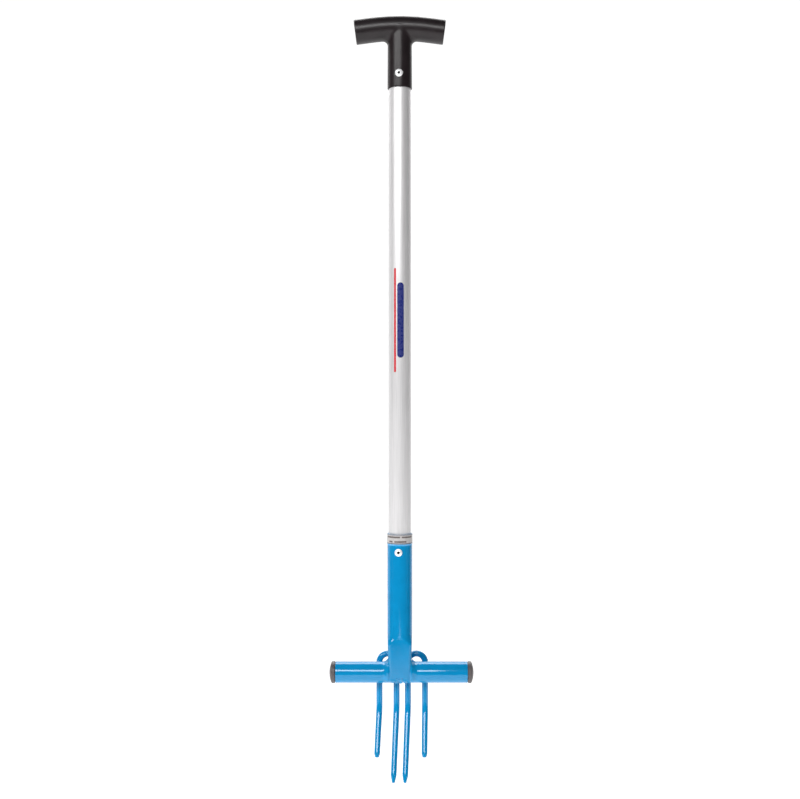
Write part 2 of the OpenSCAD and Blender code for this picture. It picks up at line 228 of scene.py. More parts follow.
def field_mesh(field, low, high, cell):
    """The closed surface where field(x, y, z) is 0: one point in each cell that it crosses, put
    on the surface, and one quad round each grid edge that it crosses."""
    low = np.array(low, float)
    size = np.ceil((np.array(high, float) - low) / cell).astype(int) + 1
    grid = np.meshgrid(*[low[i] + cell * np.arange(size[i]) for i in range(3)], indexing="ij")
    value = field(*grid)
    inside = value < 0
    corners = list(itertools.product((0, 1), repeat=3))

    def corner(array, c):
        return array[tuple(slice(c[i], size[i] - 1 + c[i]) for i in range(3))]

    count = sum(corner(inside, c).astype(int) for c in corners)
    active = (count > 0) & (count < 8)
    cells = np.argwhere(active)
    index = np.full(active.shape, -1)
    index[active] = np.arange(len(cells))
    total, hits = np.zeros((len(cells), 3)), np.zeros(len(cells))
    for a, b in itertools.combinations(corners, 2):
        if sum(abs(i - j) for i, j in zip(a, b)) != 1:
            continue
        fa, fb = corner(value, a)[active], corner(value, b)[active]
        cross = (fa < 0) != (fb < 0)
        t = np.where(cross, fa / np.where(cross, fa - fb, 1), 0)
        point = np.array(a) + t[:, None] * (np.array(b) - np.array(a))
        total[cross] += point[cross]
        hits[cross] += 1
    points = low + cell * (cells + total / hits[:, None])
    step = 0.02
    for _ in range(4):
        f = field(*points.T)
        slope = np.stack(
            [
                (field(*(points + d).T) - field(*(points - d).T)) / (2 * step)
                for d in np.eye(3) * step
            ],
            axis=1,
        )
        move = slope * (f / np.maximum((slope**2).sum(1), 0.05))[:, None]
        length = np.linalg.norm(move, axis=1)[:, None]
        points -= move * np.minimum(1, 0.5 * cell / np.maximum(length, 1e-9))
    faces = []
    for axis in range(3):
        u, v = (axis + 1) % 3, (axis + 2) % 3
        lower = [slice(None)] * 3
        upper = [slice(None)] * 3
        lower[axis], upper[axis] = slice(0, -1), slice(1, None)
        change = inside[tuple(lower)] != inside[tuple(upper)]
        edges = np.argwhere(change)
        edges = edges[(edges[:, u] > 0) & (edges[:, v] > 0)]
        edges = edges[(edges[:, u] < size[u] - 1) & (edges[:, v] < size[v] - 1)]
        around = []
        for du, dv in ((-1, -1), (0, -1), (0, 0), (-1, 0)):
            c = edges.copy()
            c[:, u] += du
            c[:, v] += dv
            around.append(index[tuple(c.T)])
        quads = np.stack(around, axis=1)
        outwards = inside[tuple(edges.T)]
        quads[~outwards] = quads[~outwards][:, ::-1]
        faces.append(quads)
    return points, np.concatenate(faces).tolist()


def cut(piece, verts, faces):
    """Cuts a closed shape out of a piece."""
    mesh = bpy.data.meshes.new("cutter")
    mesh.from_pydata((np.asarray(verts) * MM).tolist(), [], [list(f) for f in faces])
    cutter = bpy.data.objects.new("cutter", mesh)
    scene.collection.objects.link(cutter)
    modifier = piece.modifiers.new("cut", "BOOLEAN")
    modifier.operation, modifier.solver, modifier.object = "DIFFERENCE", "EXACT", cutter
    bpy.context.view_layer.update()
    depsgraph = bpy.context.evaluated_depsgraph_get()
    old = piece.data
    piece.data = bpy.data.meshes.new_from_object(piece.evaluated_get(depsgraph))
    piece.modifiers.clear()
    bpy.data.objects.remove(cutter)
    bpy.data.meshes.remove(mesh)
    bpy.data.meshes.remove(old)
    piece.data.name = piece.name
    piece.data.polygons.foreach_set("use_smooth", [True] * len(piece.data.polygons))
    piece.data.set_sharp_from_angle(angle=math.radians(35))


# ------------------------------------------------------------------ fields


def smoothstep(low, high, x):
    t = np.clip((x - low) / (high - low), 0, 1)
    return t * t * (3 - 2 * t)


def blend_union(a, b, r):
    """The union of two fields with a concave fillet of radius r."""
    ua, ub = np.maximum(r - a, 0), np.maximum(r - b, 0)
    return np.maximum(r, np.minimum(a, b)) - np.hypot(ua, ub)


def soft_union(a, b, k):
    """The union of two fields with its crease softened over k."""
    h = np.maximum(k - np.abs(a - b), 0) / k
    return np.minimum(a, b) - h * h * k / 4


def round_cut(a, b, r):
    """The common part of two fields with its outer edge rounded by r."""
    ua, ub = a + r, b + r
    return np.minimum(np.maximum(ua, ub), 0) + np.hypot(np.maximum(ua, 0), np.maximum(ub, 0)) - r


def lumps(x, y, z, size):
    """A smooth unevenness between about -1 and 1 whose bumps are about size apart."""
    k = 2 * math.pi / size
    return (
        np.sin(k * (0.83 * x + 0.31 * y + 0.46 * z) + 1.3)
        + np.sin(k * (-0.52 * x + 0.78 * y + 0.57 * z) + 4.1)
        + np.sin(k * (0.64 * x - 0.41 * y + 1.07 * z) + 2.2)
    ) / 3


# ------------------------------------------------------------------ materials


def shader(name, colour, roughness, metallic=0.0, **constants):
    """A material with one Principled shader, its node tree and the shader."""
    material = bpy.data.materials.new(name)
    material.use_nodes = True
    tree = material.node_tree
    principled = tree.nodes["Principled BSDF"]
    principled.inputs["Base Color"].default_value = (*colour, 1)
    principled.inputs["Roughness"].default_value = roughness
    principled.inputs["Metallic"].default_value = metallic
    for key, value in constants.items():
        principled.inputs[key.replace("_", " ")].default_value = value
    return material, tree, principled


def noise(tree, scale, detail=2.0, stretch=(1, 1, 1), rough=0.5):
    """Noise over object coordinates in metres, stretched by a scale for each axis."""
    place = tree.nodes.new("ShaderNodeTexCoord")
    mapping = tree.nodes.new("ShaderNodeMapping")
    mapping.inputs["Scale"].default_value = stretch
    texture = tree.nodes.new("ShaderNodeTexNoise")
    texture.inputs["Scale"].default_value = scale
    texture.inputs["Detail"].default_value = detail
    texture.inputs["Roughness"].default_value = rough
    tree.links.new(place.outputs["Object"], mapping.inputs["Vector"])
    tree.links.new(mapping.outputs["Vector"], texture.inputs["Vector"])
    return texture.outputs["Fac"]


def colours(tree, factor, low, high, start=0.3, end=0.7):
    """Colour from low to high as a factor goes from start to end."""
    ramp = tree.nodes.new("ShaderNodeValToRGB")
    ramp.color_ramp.elements[0].position, ramp.color_ramp.elements[1].position = start, end
    ramp.color_ramp.elements[0].color = (*low, 1)
    ramp.color_ramp.elements[1].color = (*high, 1)
    tree.links.new(factor, ramp.inputs["Fac"])
    return ramp.outputs["Color"]


def levels(tree, factor, low, high, start=0.3, end=0.7):
    """A number from low to high as a factor goes from start to end."""
    node = tree.nodes.new("ShaderNodeMapRange")
    for key, value in (("From Min", start), ("From Max", end), ("To Min", low), ("To Max", high)):
        node.inputs[key].default_value = value
    tree.links.new(factor, node.inputs["Value"])
    return node.outputs["Result"]


def bump(tree, principled, *layers):
    """Bump from layers of (height, strength, depth in metres)."""
    normal = None
    for height, strength, depth in layers:
        node = tree.nodes.new("ShaderNodeBump")
        node.inputs["Strength"].default_value = strength
        node.inputs["Distance"].default_value = depth
        tree.links.new(height, node.inputs["Height"])
        if normal:
            tree.links.new(normal, node.inputs["Normal"])
        normal = node.outputs["Normal"]
    tree.links.new(normal, principled.inputs["Normal"])


def grip_plastic():
    """Moulded satin plastic: near black, a fine spark-eroded grain and faint handling marks."""
    material, tree, principled = shader(
        "black_satin_plastic", (0.013, 0.009, 0.01), 0.33, Specular_IOR_Level=0.33
    )
    mottle = noise(tree, 60, 3)
    grain = noise(tree, 1400, 2)
    link = tree.links.new
    link(
        colours(tree, mottle, (0.0105, 0.0074, 0.0085), (0.0155, 0.011, 0.0125)),
        principled.inputs["Base Color"],
    )
    link(levels(tree, noise(tree, 180, 4), 0.3, 0.37), principled.inputs["Roughness"])
    bump(tree, principled, (grain, 0.2, 0.0001), (noise(tree, 90, 2), 0.15, 0.0004))
    return material


def cap_plastic():
    """Softer brown-grey plastic of the end caps."""
    material, tree, principled = shader(
        "grey_brown_plastic", (0.1, 0.085, 0.09), 0.5, Specular_IOR_Level=0.5
    )
    link = tree.links.new
    link(
        colours(tree, noise(tree, 110, 3), (0.07, 0.06, 0.062), (0.1, 0.087, 0.09)),
        principled.inputs["Base Color"],
    )
    link(levels(tree, noise(tree, 260, 4), 0.4, 0.58), principled.inputs["Roughness"])
    bump(tree, principled, (noise(tree, 1600, 2), 0.3, 0.0001))
    return material


def anodised_aluminium():
    """Drawn and anodised tube: fine grain along the axis, a satin sheen that varies a little."""
    material, tree, principled = shader(
        "satin_anodised_aluminium", (0.66, 0.65, 0.655), 0.46, 0.45
    )
    link = tree.links.new
    streaks = noise(tree, 1500, 3, (1, 1, 0.012), 0.6)
    broad = noise(tree, 22, 3, (1, 1, 0.25))
    link(
        colours(tree, streaks, (0.6, 0.59, 0.595), (0.72, 0.71, 0.715)),
        principled.inputs["Base Color"],
    )
    mixed = tree.nodes.new("ShaderNodeMath")
    mixed.operation = "ADD"
    link(levels(tree, streaks, -0.03, 0.05), mixed.inputs[0])
    link(levels(tree, broad, 0.41, 0.49), mixed.inputs[1])
    link(mixed.outputs[0], principled.inputs["Roughness"])
    bump(tree, principled, (streaks, 0.12, 0.00005), (noise(tree, 2600, 2), 0.1, 0.00003))
    return material


def rivet_aluminium():
    """Bare, bright aluminium with small knocks from the setting tool."""
    material, tree, principled = shader("bright_aluminium", (0.86, 0.86, 0.87), 0.4, 0.5)
    link = tree.links.new
    link(
        colours(tree, noise(tree, 900, 4), (0.78, 0.78, 0.79), (0.92, 0.92, 0.93)),
        principled.inputs["Base Color"],
    )
    link(levels(tree, noise(tree, 1200, 3), 0.34, 0.48), principled.inputs["Roughness"])
    bump(tree, principled, (noise(tree, 1100, 3), 0.15, 0.0001))
    return material


def mandrel_steel():
    """The mandrel's torn end: steel painted near black, as painted shade of the rivet's hole."""
    material, tree, principled = shader("dull_steel_painted_hole_shade", (0.1, 0.095, 0.09), 0.55, 0.8)
    link = tree.links.new
    link(
        colours(tree, noise(tree, 1500, 4), (0.004, 0.004, 0.004), (0.02, 0.018, 0.017)),
        principled.inputs["Base Color"],
    )
    link(levels(tree, noise(tree, 900, 3), 0.45, 0.7), principled.inputs["Roughness"])
    bump(tree, principled, (noise(tree, 2200, 4), 0.8, 0.0002))
    return material


def powder_coat():
    """Glossy blue powder coat with orange peel and a little cloudiness."""
    material, tree, principled = shader(
        "blue_powder_coat", (0.0024, 0.256, 0.545), 0.12, Specular_IOR_Level=0.5
    )
    link = tree.links.new
    link(
        colours(tree, noise(tree, 70, 4), (0.0016, 0.215, 0.46), (0.0024, 0.24, 0.508)),
        principled.inputs["Base Color"],
    )
    link(levels(tree, noise(tree, 320, 3), 0.08, 0.13), principled.inputs["Roughness"])
    peel = noise(tree, 620, 2)
    bump(tree, principled, (peel, 0.12, 0.0001), (noise(tree, 130, 2), 0.04, 0.0003))
    return material


def film(name, low, high, roughness):
    """Printed film with a faintly uneven ink and a soft gloss."""
    material, tree, principled = shader(name, low, roughness, Specular_IOR_Level=0.5)
    link = tree.links.new
    link(colours(tree, noise(tree, 420, 4), low, high), principled.inputs["Base Color"])
    link(
        levels(tree, noise(tree, 300, 3), roughness - 0.06, roughness + 0.08),
        principled.inputs["Roughness"],
    )
    bump(tree, principled, (noise(tree, 500, 2), 0.12, 0.00008))
    return material


BLACK = grip_plastic()
CAP = cap_plastic()
ALUMINIUM = anodised_aluminium()
RIVET = rivet_aluminium()
# the mandrel's near-black steel is also painted shade inside the rivets' holes
MANDREL_AND_HOLE_SHADE = mandrel_steel()
BLUE = powder_coat()
LABEL = film("label_film_silver", (0.44, 0.422, 0.418), (0.51, 0.49, 0.485), 0.35)
PRINT = film("label_print_brown", (0.1, 0.085, 0.08), (0.15, 0.125, 0.12), 0.35)
BORDER = film("label_border_dark", (0.045, 0.06, 0.1), (0.07, 0.09, 0.14), 0.35)
# the margin's paler blue is a painted highlight along the label's lower edge
MARGIN_HIGHLIGHT = film("clear_film_painted_highlight", (0.06, 0.34, 0.66), (0.09, 0.4, 0.74), 0.12)
STRIPE_BLUE = film("stripe_dark_blue", (0.014, 0.02, 0.13), (0.022, 0.03, 0.17), 0.28)
STRIPE_RED = film("stripe_red", (0.5, 0.02, 0.03), (0.62, 0.03, 0.045), 0.28)

# ------------------------------------------------------------------ grip

STEM_LOW = GRIP_LOW.z
STEM_LOW_R = GRIP_HIGH.y
STEM_TOP_R = STEM_LOW_R - 0.3
GRIP_ARC_R = 290.0
GRIP_TILT = math.radians(7.5)
GRIP_ARC_X = GRIP_ARC_R * math.sin(GRIP_TILT)
GRIP_ARC_Z = GRIP_R - GRIP_ARC_R * (1 - math.cos(GRIP_TILT))
GRIP_HALF_SPAN = 59.7
GRIP_END = (GRIP_HALF_SPAN - GRIP_R * math.sin(GRIP_TILT) - GRIP_ARC_X) / math.cos(GRIP_TILT)


def grip_field(x, y, z):
    """The arched crossbar and the stem, with a fillet that is wide at the front and back."""
    out = np.abs(x)
    on_arc = np.hypot(x, z - GRIP_R + GRIP_ARC_R) - GRIP_ARC_R
    dx, dz = out - GRIP_ARC_X, z - GRIP_ARC_Z
    along = dx * math.cos(GRIP_TILT) - dz * math.sin(GRIP_TILT)
    on_line = dx * math.sin(GRIP_TILT) + dz * math.cos(GRIP_TILT)
    off = np.where(along > 0, on_line, on_arc)
    bar = round_cut(np.hypot(off, y) - GRIP_R, along - GRIP_END, 1.3)
    share = np.clip(z / STEM_LOW, 0, 1)
    stem = np.hypot(x, y) - (STEM_TOP_R + (STEM_LOW_R - STEM_TOP_R) * share)
    stem = round_cut(stem, STEM_LOW - z, 0.35)
    stem = np.maximum(stem, z - GRIP_R)
    flank = 1 - smoothstep(0.35, 0.95, np.abs(y) / GRIP_R)
    return blend_union(bar, stem, 1.2 + 6.0 * flank)


grip = add_piece(
    "grip_moulding",
    *field_mesh(grip_field, (-61, -17.3, STEM_LOW - 1.5), (61, 17.3, GRIP_HIGH.z + 1.5), 0.85),
    BLACK,
    ["grip_handle"],
    "grip_plastic",
    40,
)
seat_r = SHAFT_R + SEAT_GAP
cut(
    grip,
    *lathe([(0, STEM_LOW - 2), (seat_r, STEM_LOW - 2), (seat_r, SEAT_TOP), (0, SEAT_TOP)], 128),
)

# ------------------------------------------------------------------ shaft and its stripes

tube = [
    (SHAFT_R, SHAFT_LOW.z),
    (SHAFT_R, SHAFT_HIGH.z),
    (SHAFT_R - SHAFT_WALL, SHAFT_HIGH.z),
    (SHAFT_R - SHAFT_WALL, SHAFT_LOW.z),
]
add_piece(
    "shaft_drawn_tube",
    *lathe(rounded(tube, [0.3] * 4, 3), 144),
    ALUMINIUM,
    ["shaft_tube"],
    "shaft_aluminium",
)


STRIPE_GAP = 0.01
STRIPE_T = 0.12


def stripe(name, node, width, turn, material, slot):
    """A strip of film on the shaft with round ends, as long as its CAD node."""
    low, high = box_mm(node)
    length = high.z - low.z
    middle = (high.z + low.z) / 2
    inner, outer = SHAFT_R + STRIPE_GAP, SHAFT_R + STRIPE_T
    end_r = width / 2
    up = np.concatenate(
        [
            -length / 2 + end_r * (1 - np.cos(np.linspace(0, math.pi / 2, 10))),
            np.linspace(-length / 2 + end_r, length / 2 - end_r, 24)[1:-1],
            length / 2 - end_r * (1 - np.cos(np.linspace(math.pi / 2, 0, 10))),
        ]
    )
    across = np.linspace(-1, 1, 13)
    verts, rows = [], len(up)
    for radius in (outer, inner):
        for h in up:
            over = max(abs(h) - (length / 2 - end_r), 0)
            half = max(math.sqrt(max(end_r**2 - over**2, 0)), 0.02)
            for a in across * half / SHAFT_R + turn:
                verts.append((radius * math.sin(a), -radius * math.cos(a), middle + h))
    n = len(across)
    faces = []
    for layer in (0, 1):
        base = layer * rows * n
        for k in range(rows - 1):
            for i in range(n - 1):
                a = base + k * n + i
                quad = (a, a + 1, a + n + 1, a + n)
                faces.append(quad if layer == 0 else quad[::-1])
    loop = (
        list(range(n))
        + [k * n + n - 1 for k in range(1, rows)]
        + [(rows - 1) * n + i for i in range(n - 2, -1, -1)]
        + [k * n for k in range(rows - 2, 0, -1)]
    )
    for a, b in zip(loop, loop[1:] + loop[:1]):
        faces.append((b, a, a + rows * n, b + rows * n))
    add_piece(name, verts, faces, material, [node], slot)


BLUE_TURN, RED_TURN = math.radians(4), math.radians(-25)
stripe("decal_blue_film", "decal_stripe_blue", 8.4, BLUE_TURN, STRIPE_BLUE, "stripe_blue")
stripe("decal_red_film", "decal_stripe_red", 2.6, RED_TURN, STRIPE_RED, "stripe_red")

# ------------------------------------------------------------------ rivets

HEAD_R = 4.85
RIVET_R = 2.4
MANDREL_R = 1.35
HOLE_R = 1.75
HEAD_H = 1.5
BULB_H = 3
# the mandrel's broken end, above the surface that the head bears on
PIN_TOP = 0.3


def on_front(radius, turn, z):
    """The frame whose +Z points out of the front of a round part, on its surface."""
    return (
        Matrix.Translation((0, 0, z))
        @ Matrix.Rotation(turn, 4, "Z")
        @ Matrix.Translation((0, -radius, 0))
        @ Matrix.Rotation(math.pi / 2, 4, "X")
    )


def blind_rivet(name, node, mandrel_node, seat, turn):
    """A domed rivet with its blind bulb, and the mandrel left in it; seat is the radius of the
    surface that the head bears on. The walls that it goes through aren't bored."""
    low, high = box_mm(node)
    matrix = on_front(seat, math.radians(turn), (low.z + high.z) / 2)
    dome_r = (HEAD_R**2 + HEAD_H**2) / (2 * HEAD_H)
    reach = seat - (SHAFT_R - SHAFT_WALL)
    dome = [
        (r, HEAD_H - dome_r + math.sqrt(dome_r**2 - r * r))
        for r in np.linspace(HOLE_R + 0.2, HEAD_R - 0.15, 14)
    ]
    outline = (
        [(MANDREL_R, -reach - BULB_H), (MANDREL_R, 0.1), (HOLE_R, 0.25), (HOLE_R, HEAD_H - 0.25)]
        + dome
        + [(HEAD_R, 0.12), (HEAD_R, 0.02), (RIVET_R, 0.0), (RIVET_R, -reach)]
        + [(RIVET_R + 0.8, -reach - 2.4), (RIVET_R + 0.6, -reach - BULB_H)]
    )
    body = add_piece(name, *lathe(outline, 72, matrix), RIVET, [node], "rivet_aluminium", 30)
    # the hole's wall takes the mandrel's near-black steel as painted shade inside the hole
    body.data.materials.append(MANDREL_AND_HOLE_SHADE)
    for polygon in body.data.polygons:
        out = matrix.inverted() @ (polygon.center / MM)
        if math.hypot(out.x, out.y) < HOLE_R + 0.02 and out.z > -BULB_H:
            polygon.material_index = 1
    stem = MANDREL_R - 0.02
    pin = [(0, -reach - 4.4), (RIVET_R - 0.2, -reach - 4.4), (RIVET_R, -reach - 4.1)]
    pin += [(RIVET_R, -reach - 3.05), (stem, -reach - 3.05), (stem, PIN_TOP - 0.3)]
    pin += [(stem * 0.72, PIN_TOP), (stem * 0.4, PIN_TOP - 0.12), (0, PIN_TOP - 0.05)]
    add_piece(
        name + "_mandrel", *lathe(pin, 48, matrix), MANDREL_AND_HOLE_SHADE, [mandrel_node], "mandrel_steel"
    )


# the last number is the rivet's turn round the shaft, in degrees
blind_rivet("upper_rivet", "grip_rivet", "grip_rivet_mandrel", STEM_LOW_R, -4)
blind_rivet("lower_rivet", "socket_rivet", "socket_rivet_mandrel", SOCKET_R, -6)

# ------------------------------------------------------------------ socket and its label

SOCKET_SEGMENTS = 160
SOCKET_WALL = SOCKET_R - SHAFT_R - SEAT_GAP


def press_at(z):
    """The pressed end's ring at a height above the bar's axis, between the two rings about it."""
    if z >= PRESS_RINGS[0][0]:
        return PRESS_RINGS[0][1:]
    for upper, lower in zip(PRESS_RINGS, PRESS_RINGS[1:]):
        if z >= lower[0]:
            t = (upper[0] - z) / (upper[0] - lower[0])
            return tuple(a + (b - a) * t for a, b in zip(upper[1:], lower[1:]))
    return PRESS_RINGS[-1][1:]


def press_ring(z, inset):
    """The socket's section at a height, as points at even steps of its outline."""
    share, half, front, back = press_at(z)
    quarter = SOCKET_SEGMENTS // 4
    points = []
    for q in range(4):
        is_back = q < 2
        r = BACK_R if is_back else FRONT_R
        cx = (half - r) * (1 if q in (0, 3) else -1)
        cy = BAR_Y + (back - r if is_back else r - front)
        for i in range(quarter):
            round_turn = (q + (i + 0.5) / quarter) * math.pi / 2
            turn = (q + i / (quarter - 1)) * math.pi / 2
            circle = np.array([math.cos(round_turn), math.sin(round_turn)]) * (SOCKET_R - inset)
            corner = np.array([cx, cy]) + (r - inset) * np.array([math.cos(turn), math.sin(turn)])
            points.append(circle * (1 - share) + corner * share)
    return points


socket_top = SOCKET_HIGH.z - BAR_Z
press_heights = np.linspace(PRESS_LOW, PRESS_TOP, 61)
heights = np.concatenate([press_heights, [socket_top - 0.4, socket_top - 0.1]])
verts = []
for z in heights:
    verts += [(*p, z + BAR_Z) for p in press_ring(z, 0)]
verts += [(*p, socket_top + BAR_Z) for p in press_ring(socket_top, 0.3)]
verts += [(*p, socket_top + BAR_Z) for p in press_ring(socket_top, SOCKET_WALL - 0.2)]
for z in heights[::-1]:
    verts += [(*p, z + BAR_Z) for p in press_ring(z, SOCKET_WALL)]
ring_count = 2 * len(heights) + 2
socket = add_piece(
    "socket_pressed_tube",
    verts,
    ring_faces(ring_count, SOCKET_SEGMENTS, closed=True),
    BLUE,
    ["socket_tube"],
    "blue_coat",
)
CUTTER = 20                             # half the width of a block that trims the tube
ALONG_X = Matrix.Rotation(math.pi / 2, 4, "Y")
bed_r = BAR_R + 0.05
cut(
    socket,
    *lathe(
        [(0, -3 * CUTTER), (bed_r, -3 * CUTTER), (bed_r, 3 * CUTTER), (0, 3 * CUTTER)],
        160,
        Matrix.Translation((0, BAR_Y, BAR_Z)) @ ALONG_X,
    ),
)


def block(low, high):
    """The corners and faces of a plain box, as a cutter."""
    corners = [(x, y, z) for x in (low[0], high[0]) for y in (low[1], high[1])
               for z in (low[2], high[2])]
    faces = [(0, 1, 3, 2), (4, 6, 7, 5), (0, 4, 5, 1), (2, 3, 7, 6), (0, 2, 6, 4), (1, 5, 7, 3)]
    return corners, faces


# behind the bar's axis the tube stops at the bar, and in front the tongue goes a little lower
cut(socket, *block((-CUTTER, BAR_Y, BAR_Z - CUTTER), (CUTTER, CUTTER, BAR_Z)))
cut(socket, *block((-CUTTER, -CUTTER, BAR_Z - CUTTER), (CUTTER, CUTTER, BAR_Z + TONGUE_LOW)))

# the label's bands and bars, as drops below its top, and the bars' spans round it in degrees
PRINT_ROWS = {(2.1, 4.2): [(-72, 2), (9, 68)], (7.9, 10.0): [(-56, -35), (-25, 32)]}
BORDER_ROWS = [(0.5, 0.95), (10.8, 11.9)]
LABEL_SEGMENTS = 240
LABEL_EDGE = 0.08
label_h = LABEL_HIGH.z - LABEL_LOW.z
rows = sorted(drop for row in [*PRINT_ROWS, *BORDER_ROWS] for drop in row)
rows = [0, LABEL_EDGE, *rows, label_h - LABEL_EDGE, label_h]
outline = [(LABEL_OUT_R, -drop) for drop in rows[1:-1]]
outline = [(LABEL_OUT_R - LABEL_EDGE, 0), *outline, (LABEL_OUT_R - LABEL_EDGE, -label_h)]
outline += [(SOCKET_R + FILM_GAP, -label_h), (SOCKET_R + FILM_GAP, 0)]
label = add_piece(
    "label_wrap_film",
    *lathe(outline, LABEL_SEGMENTS, Matrix.Translation((0, 0, LABEL_HIGH.z))),
    LABEL,
    ["label_band"],
    "label_film",
)
label.data.materials.append(PRINT)
label.data.materials.append(BORDER)
for polygon in label.data.polygons:
    centre = polygon.center / MM
    depth = LABEL_HIGH.z - centre.z
    if math.hypot(centre.x, centre.y) < LABEL_OUT_R - 0.1:
        continue
    turn = math.degrees(math.atan2(centre.x, -centre.y))
    if any(a < depth < b for a, b in BORDER_ROWS):
        polygon.material_index = 2
    for (a, b), spans in PRINT_ROWS.items():
        if a < depth < b and any(p < turn < q for p, q in spans):
            polygon.material_index = 1

# the label's clear margin below it, whose paler blue is a painted highlight along the label's lower
# edge
MARGIN_H = 2.0
MARGIN_OUT_R = SOCKET_R + 0.14
margin = [
    (SOCKET_R + FILM_GAP, LABEL_LOW.z - MARGIN_H),
    (MARGIN_OUT_R, LABEL_LOW.z - MARGIN_H),
    (MARGIN_OUT_R, LABEL_LOW.z),
    (SOCKET_R + FILM_GAP, LABEL_LOW.z),
]
add_piece(
    "label_clear_margin",
    *lathe(rounded(margin, [0, 0.09, 0, 0], 4), 160),
    MARGIN_HIGHLIGHT,
    [],
    "label_film",
    60,
)

# ------------------------------------------------------------------ foot bar and end caps

bar_x = (BAR_LOW.x + BAR_HIGH.x) / 2
bar_half = (BAR_HIGH.x - BAR_LOW.x) / 2
bar_outline = [
    (BAR_R, -bar_half),
    (BAR_R, bar_half),
    (BAR_R - BAR_WALL, bar_half),
    (BAR_R - BAR_WALL, -bar_half),
]
bar_outline = rounded(bar_outline, [0.5, 0.5, 0.3, 0.3], 4)
add_piece(
    "foot_bar_tube",
    *lathe(bar_outline, 160, Matrix.Translation((bar_x, BAR_Y, BAR_Z)) @ ALONG_X),
    BLUE,
    ["foot_bar"],
    "blue_coat",
)


CAP_CROWN = 3.0                         # rise of the head's outer face
CAP_EDGE_R = 1.1
PLUG_LEN = 14
PLUG_WALL = 2
RIB = 0.35


def end_cap(name, node, side):
    """A pushed-in cap: a crowned head outside the bar and a ribbed hollow plug inside it."""
    low, high = box_mm(node)
    head_r = (high.z - low.z) / 2
    start = BAR_HIGH.x if side > 0 else BAR_LOW.x
    length = high.x - start if side > 0 else start - low.x
    crown_r = (head_r**2 + CAP_CROWN**2) / (2 * CAP_CROWN)
    shoulder = length - CAP_CROWN - 0.9
    # a groove sets the head off from the bar's end
    groove_r = BAR_R - 1.4
    outline = [(groove_r, 0.05), (groove_r, 0.7), (head_r - 0.5, 0.75), (head_r, 1.2)]
    outline.append((head_r, shoulder))
    for a in np.linspace(0, math.radians(72), 6)[1:]:
        outline.append(
            (head_r - CAP_EDGE_R * (1 - math.cos(a)), shoulder + CAP_EDGE_R * math.sin(a))
        )
    edge_r = outline[-1][0]
    for r in np.linspace(edge_r, 0, 14)[1:]:
        outline.append((r, length - crown_r + math.sqrt(crown_r**2 - r * r)))
    plug_r = BAR_R - BAR_WALL - 0.1
    inner_r = plug_r - PLUG_WALL
    outline += [(0, -0.3), (inner_r, -0.3), (inner_r, -PLUG_LEN), (plug_r - 0.6, -PLUG_LEN)]
    for i in range(3):
        h = 2 - PLUG_LEN + i * 4
        outline += [
            (plug_r - RIB, h - 0.4),
            (plug_r, h),
            (plug_r, h + 1.2),
            (plug_r - RIB, h + 1.6),
        ]
    outline += [(plug_r - RIB, 0.05)]
    matrix = Matrix.Translation((start, BAR_Y, BAR_Z)) @ Matrix.Rotation(side * math.pi / 2, 4, "Y")
    add_piece(name, *lathe(outline, 112, matrix), CAP, [node], "cap_plastic", 30)


end_cap("left_end_cap", "end_cap_left", -1)
end_cap("right_end_cap", "end_cap_right", 1)

# ------------------------------------------------------------------ tines


def leg(x, drop, point, skew):
    """Points and radii of one leg, from the height of the loop's centre down to its tip."""
    cone, tip_r = point
    forward = np.array([-math.sin(math.radians(skew)), -math.cos(math.radians(skew))])
    points, radii = [], []

    def add(out, z, r):
        points.append((x + forward[0] * out, ROD_Y + forward[1] * out, z))
        radii.append(r)

    for z in np.linspace(LOOP_H, -BEND_DROP, 30)[:-1]:
        add(0, z, ROD_R)
    for a in np.linspace(0, TINE_TILT, 12):
        add(BEND_R * (1 - math.cos(a)), -BEND_DROP - BEND_R * math.sin(a), ROD_R)
    out0 = BEND_R * (1 - math.cos(TINE_TILT))
    z0 = -BEND_DROP - BEND_R * math.sin(TINE_TILT)
    length = (z0 + drop) / math.cos(TINE_TILT)
    straight = length - cone
    stops = list(np.linspace(0, straight - SHOULDER, 24)[1:])
    stops += [straight, straight + SHOULDER]
    stops += list(np.linspace(straight + SHOULDER, length - NIB, 8)[1:])
    for s in stops:
        if s <= straight:
            r = ROD_R + (ROD_LOW_R - ROD_R) * s / straight
        else:
            r = ROD_LOW_R + (tip_r - ROD_LOW_R) * (s - straight) / cone
        if s == straight:
            r -= 0.06
        add(out0 + s * math.sin(TINE_TILT), z0 - s * math.cos(TINE_TILT), r)
    for share in (0.35, 0.7, 0.92, 1.0):
        s = length - NIB + NIB * share
        r = tip_r * math.sqrt(max(1 - share**2, 0.02))
        add(out0 + s * math.sin(TINE_TILT), z0 - s * math.cos(TINE_TILT), r)
    return points, radii


def hairpin(name, node, side):
    """A short outer and a long inner tine, joined by a loop over the bar."""
    outer, outer_r = leg(TINES_X + side * OUTER_X, SHORT_DROP, OUTER_POINT, OUTER_SKEW[side])
    inner, inner_r = leg(TINES_X + side * INNER_X, LONG_DROP, INNER_POINT, INNER_SKEW)
    middle = TINES_X + side * (OUTER_X + INNER_X) / 2
    radius = (OUTER_X - INNER_X) / 2
    loop = [
        (middle + side * radius * math.cos(a), ROD_Y, LOOP_H + radius * math.sin(a))
        for a in np.linspace(0, math.pi, 26)[1:-1]
    ]
    path = np.array(outer[::-1] + loop + inner) + np.array([0, 0, BAR_Z])
    radii = outer_r[::-1] + [ROD_R - 0.02] * len(loop) + inner_r
    add_piece(name, *sweep(path, radii, 44), BLUE, [node], "blue_coat", 50)


hairpin("left_hairpin_rod", "tine_rod_left", -1)
hairpin("right_hairpin_rod", "tine_rod_right", 1)

